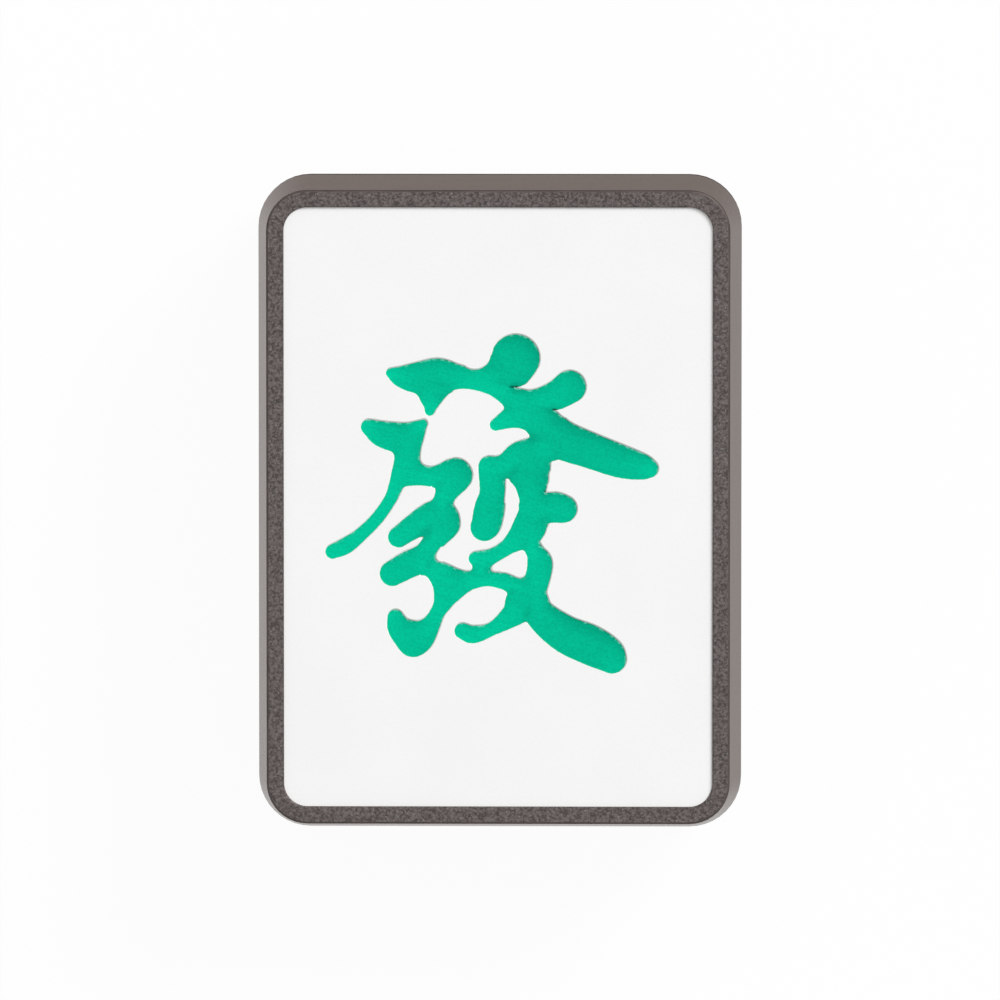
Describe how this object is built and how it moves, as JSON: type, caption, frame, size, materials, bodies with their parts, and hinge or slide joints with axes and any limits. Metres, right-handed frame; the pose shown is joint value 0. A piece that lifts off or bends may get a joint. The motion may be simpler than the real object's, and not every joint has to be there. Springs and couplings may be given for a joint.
{
  "type": "mahjong tile slider",
  "caption": "Metal-cased mahjong tile whose two halves slide along each other on magnets, with a white carved face plate let into a rounded rim.",
  "frame": {"origin": "centre of the back face, on the plane that the rear rim rests on", "axes": "+Z out of the carved face, +Y up the mark and along the slide, +X to the right of the mark"},
  "size_m": [0.0312, 0.0422, 0.014],
  "materials": {
    "case_metal": "bead-blasted rim, satin sides, dark grey-brown",
    "white_resin": "matte white, carved mark filled with green enamel on the face",
    "track_steel": "brushed along the slide",
    "nickel_plate": "bright nickel plate",
    "screw_steel": "dark plain steel"
  },
  "bodies": {
    "rear_half": {"rear_shell": "case_metal", "back_plate": "white_resin", "rear_track_plate": "track_steel", "rear_magnet_1": "nickel_plate", "rear_magnet_2": "nickel_plate", "rear_magnet_3": "nickel_plate", "rear_magnet_4": "nickel_plate", "rear_magnet_5": "nickel_plate", "rear_magnet_6": "nickel_plate", "rear_magnet_7": "nickel_plate", "rear_magnet_8": "nickel_plate", "rear_screw_1": "screw_steel", "rear_screw_2": "screw_steel", "rear_screw_3": "screw_steel", "rear_screw_4": "screw_steel"},
    "front_half": {"front_shell": "case_metal", "face_plate": "white_resin", "front_track_plate": "track_steel", "front_magnet_1": "nickel_plate", "front_magnet_2": "nickel_plate", "front_magnet_3": "nickel_plate", "front_magnet_4": "nickel_plate", "front_magnet_5": "nickel_plate", "front_magnet_6": "nickel_plate", "front_magnet_7": "nickel_plate", "front_magnet_8": "nickel_plate", "front_screw_1": "screw_steel", "front_screw_2": "screw_steel", "front_screw_3": "screw_steel", "front_screw_4": "screw_steel"}
  },
  "joints": [
    {"name": "half_slide", "type": "slide", "parent": "rear_half", "child": "front_half", "axis": [0, 1, 0], "range_m": [-0.016, 0.016]}
  ]
}
